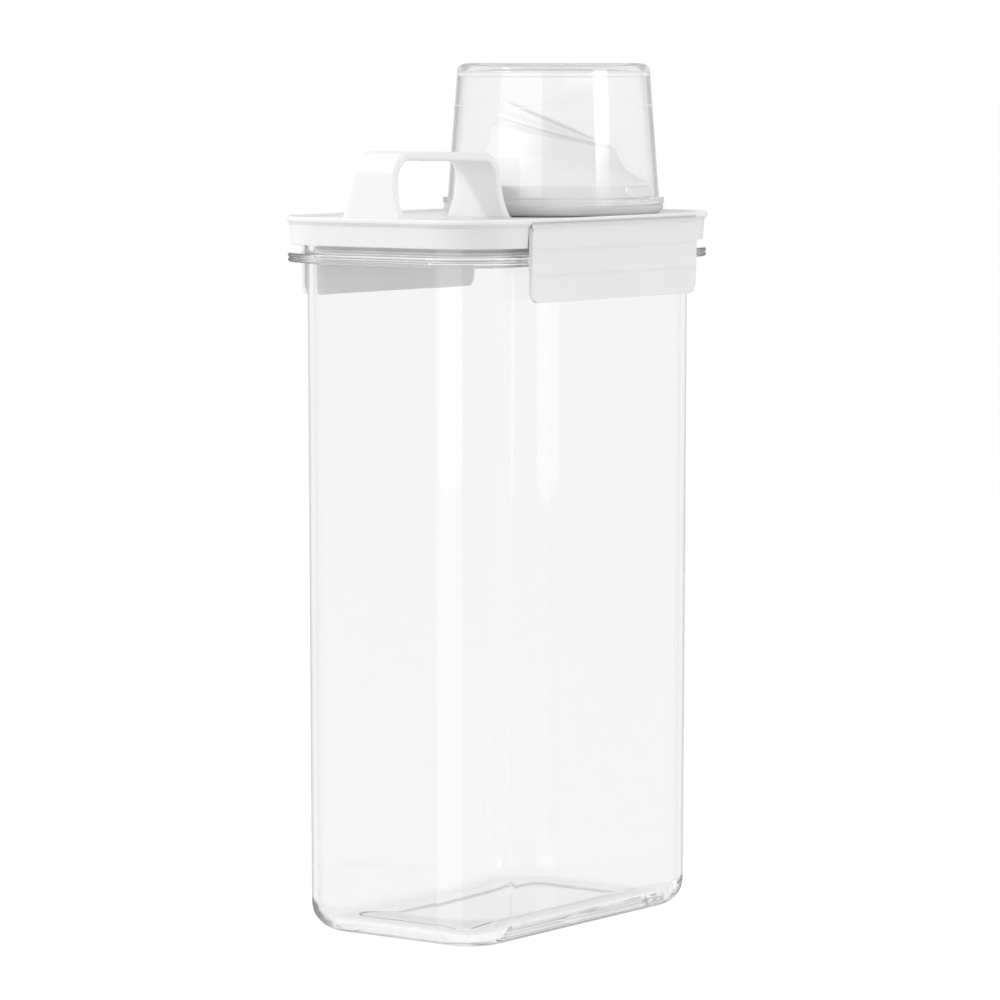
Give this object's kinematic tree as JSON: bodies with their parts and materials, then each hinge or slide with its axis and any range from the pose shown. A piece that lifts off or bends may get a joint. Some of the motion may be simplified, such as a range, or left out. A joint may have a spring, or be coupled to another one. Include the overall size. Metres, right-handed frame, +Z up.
{
  "type": "detergent dispenser bottle",
  "caption": "Tall clear airtight dispenser with a latched white lid, carry handle, slanted pour spout and an inverted measuring cup.",
  "frame": {"origin": "centre of the base, on the surface that the dispenser stands on", "axes": "+Z up; +X along the long side towards the spout, -X towards the carry handle; +Y towards the back latch"},
  "size_m": [0.1436, 0.0964, 0.288],
  "materials": {
    "container_plastic": "clear moulded plastic, glossy, very faintly cool",
    "cup_plastic": "clear moulded plastic, glossy",
    "lid_plastic": "white moulded plastic, satin",
    "spout_plastic": "white moulded plastic, satin",
    "silicone": "grey translucent silicone, dull"
  },
  "bodies": {
    "base": {"container": "container_plastic"},
    "lid": {"lid_shell": "lid_plastic", "lid_liner": "lid_plastic", "lid_gasket": "silicone", "carry_handle": "lid_plastic", "pour_spout": "spout_plastic", "cup_seal_ring": "silicone"},
    "front_flap": {"latch_front": "lid_plastic"},
    "back_flap": {"latch_back": "lid_plastic"},
    "cup": {"measuring_cup": "cup_plastic"}
  },
  "joints": [
    {"name": "lid_lift", "type": "slide", "parent": "base", "child": "lid", "axis": [0, 0, 1], "range_m": [0, 0.04]},
    {"name": "front_latch_hinge", "type": "hinge", "parent": "lid", "child": "front_flap", "pos_m": [0, -0.0482, 0.23515], "axis": [-1, 0, 0], "range_deg": [0, 150]},
    {"name": "back_latch_hinge", "type": "hinge", "parent": "lid", "child": "back_flap", "pos_m": [0, 0.0482, 0.23515], "axis": [1, 0, 0], "range_deg": [0, 150]},
    {"name": "cup_lift", "type": "slide", "parent": "lid", "child": "cup", "axis": [0, 0, 1], "range_m": [0, 0.06]}
  ]
}
